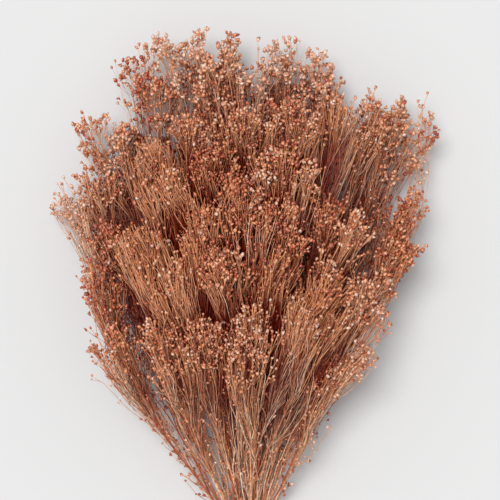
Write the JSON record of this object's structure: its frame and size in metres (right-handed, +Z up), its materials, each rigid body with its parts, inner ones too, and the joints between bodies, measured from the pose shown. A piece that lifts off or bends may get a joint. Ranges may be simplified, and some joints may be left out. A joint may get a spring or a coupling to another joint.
{
  "type": "dried flower bunch",
  "caption": "Tied bunch of dried broom bloom lying on its side: fine branching stems fan out from the neck to crests of tiny bud-like heads, dyed copper.",
  "frame": {"origin": "on the surface that the bunch lies on, under the middle of the tie", "axes": "+Y runs from the tie to the heads, +X to the right seen from above with the heads up, +Z up from the surface"},
  "size_m": [0.309, 0.5191, 0.1139],
  "materials": {
    "spray": "dry, copper-dyed, faintly satin",
    "tie": "matt plain twine"
  },
  "bodies": {
    "root": {"spray_breast_1": "spray", "spray_breast_2": "spray", "spray_breast_3": "spray", "spray_breast_4": "spray", "spray_breast_5": "spray", "spray_breast_6": "spray", "spray_crown_1": "spray", "spray_crown_2": "spray", "spray_crown_3": "spray", "spray_crown_4": "spray", "spray_crown_5": "spray", "spray_crown_6": "spray", "spray_crown_7": "spray", "spray_front_1": "spray", "spray_front_2": "spray", "spray_front_3": "spray", "spray_front_4": "spray", "spray_front_5": "spray", "spray_front_6": "spray", "spray_keel_1": "spray", "spray_keel_2": "spray", "spray_keel_3": "spray", "spray_keel_4": "spray", "spray_keel_5": "spray", "spray_keel_6": "spray", "spray_keel_7": "spray", "spray_middle_1": "spray", "spray_middle_2": "spray", "spray_middle_3": "spray", "spray_middle_4": "spray", "spray_middle_5": "spray", "spray_middle_6": "spray", "spray_shoulder_1": "spray", "spray_shoulder_2": "spray", "spray_shoulder_3": "spray", "spray_shoulder_4": "spray", "spray_shoulder_5": "spray", "spray_shoulder_6": "spray", "spray_shoulder_7": "spray", "spray_shoulder_8": "spray", "spray_skirt_1": "spray", "spray_skirt_2": "spray", "spray_skirt_3": "spray", "spray_skirt_4": "spray", "spray_skirt_5": "spray", "spray_skirt_6": "spray", "spray_skirt_7": "spray", "spray_under_1": "spray", "spray_under_2": "spray", "spray_under_3": "spray", "spray_under_4": "spray", "spray_upper_1": "spray", "spray_upper_2": "spray", "spray_upper_3": "spray", "spray_upper_4": "spray", "spray_upper_5": "spray", "spray_upper_6": "spray", "spray_upper_7": "spray", "tie": "tie"}
  },
  "joints": []
}
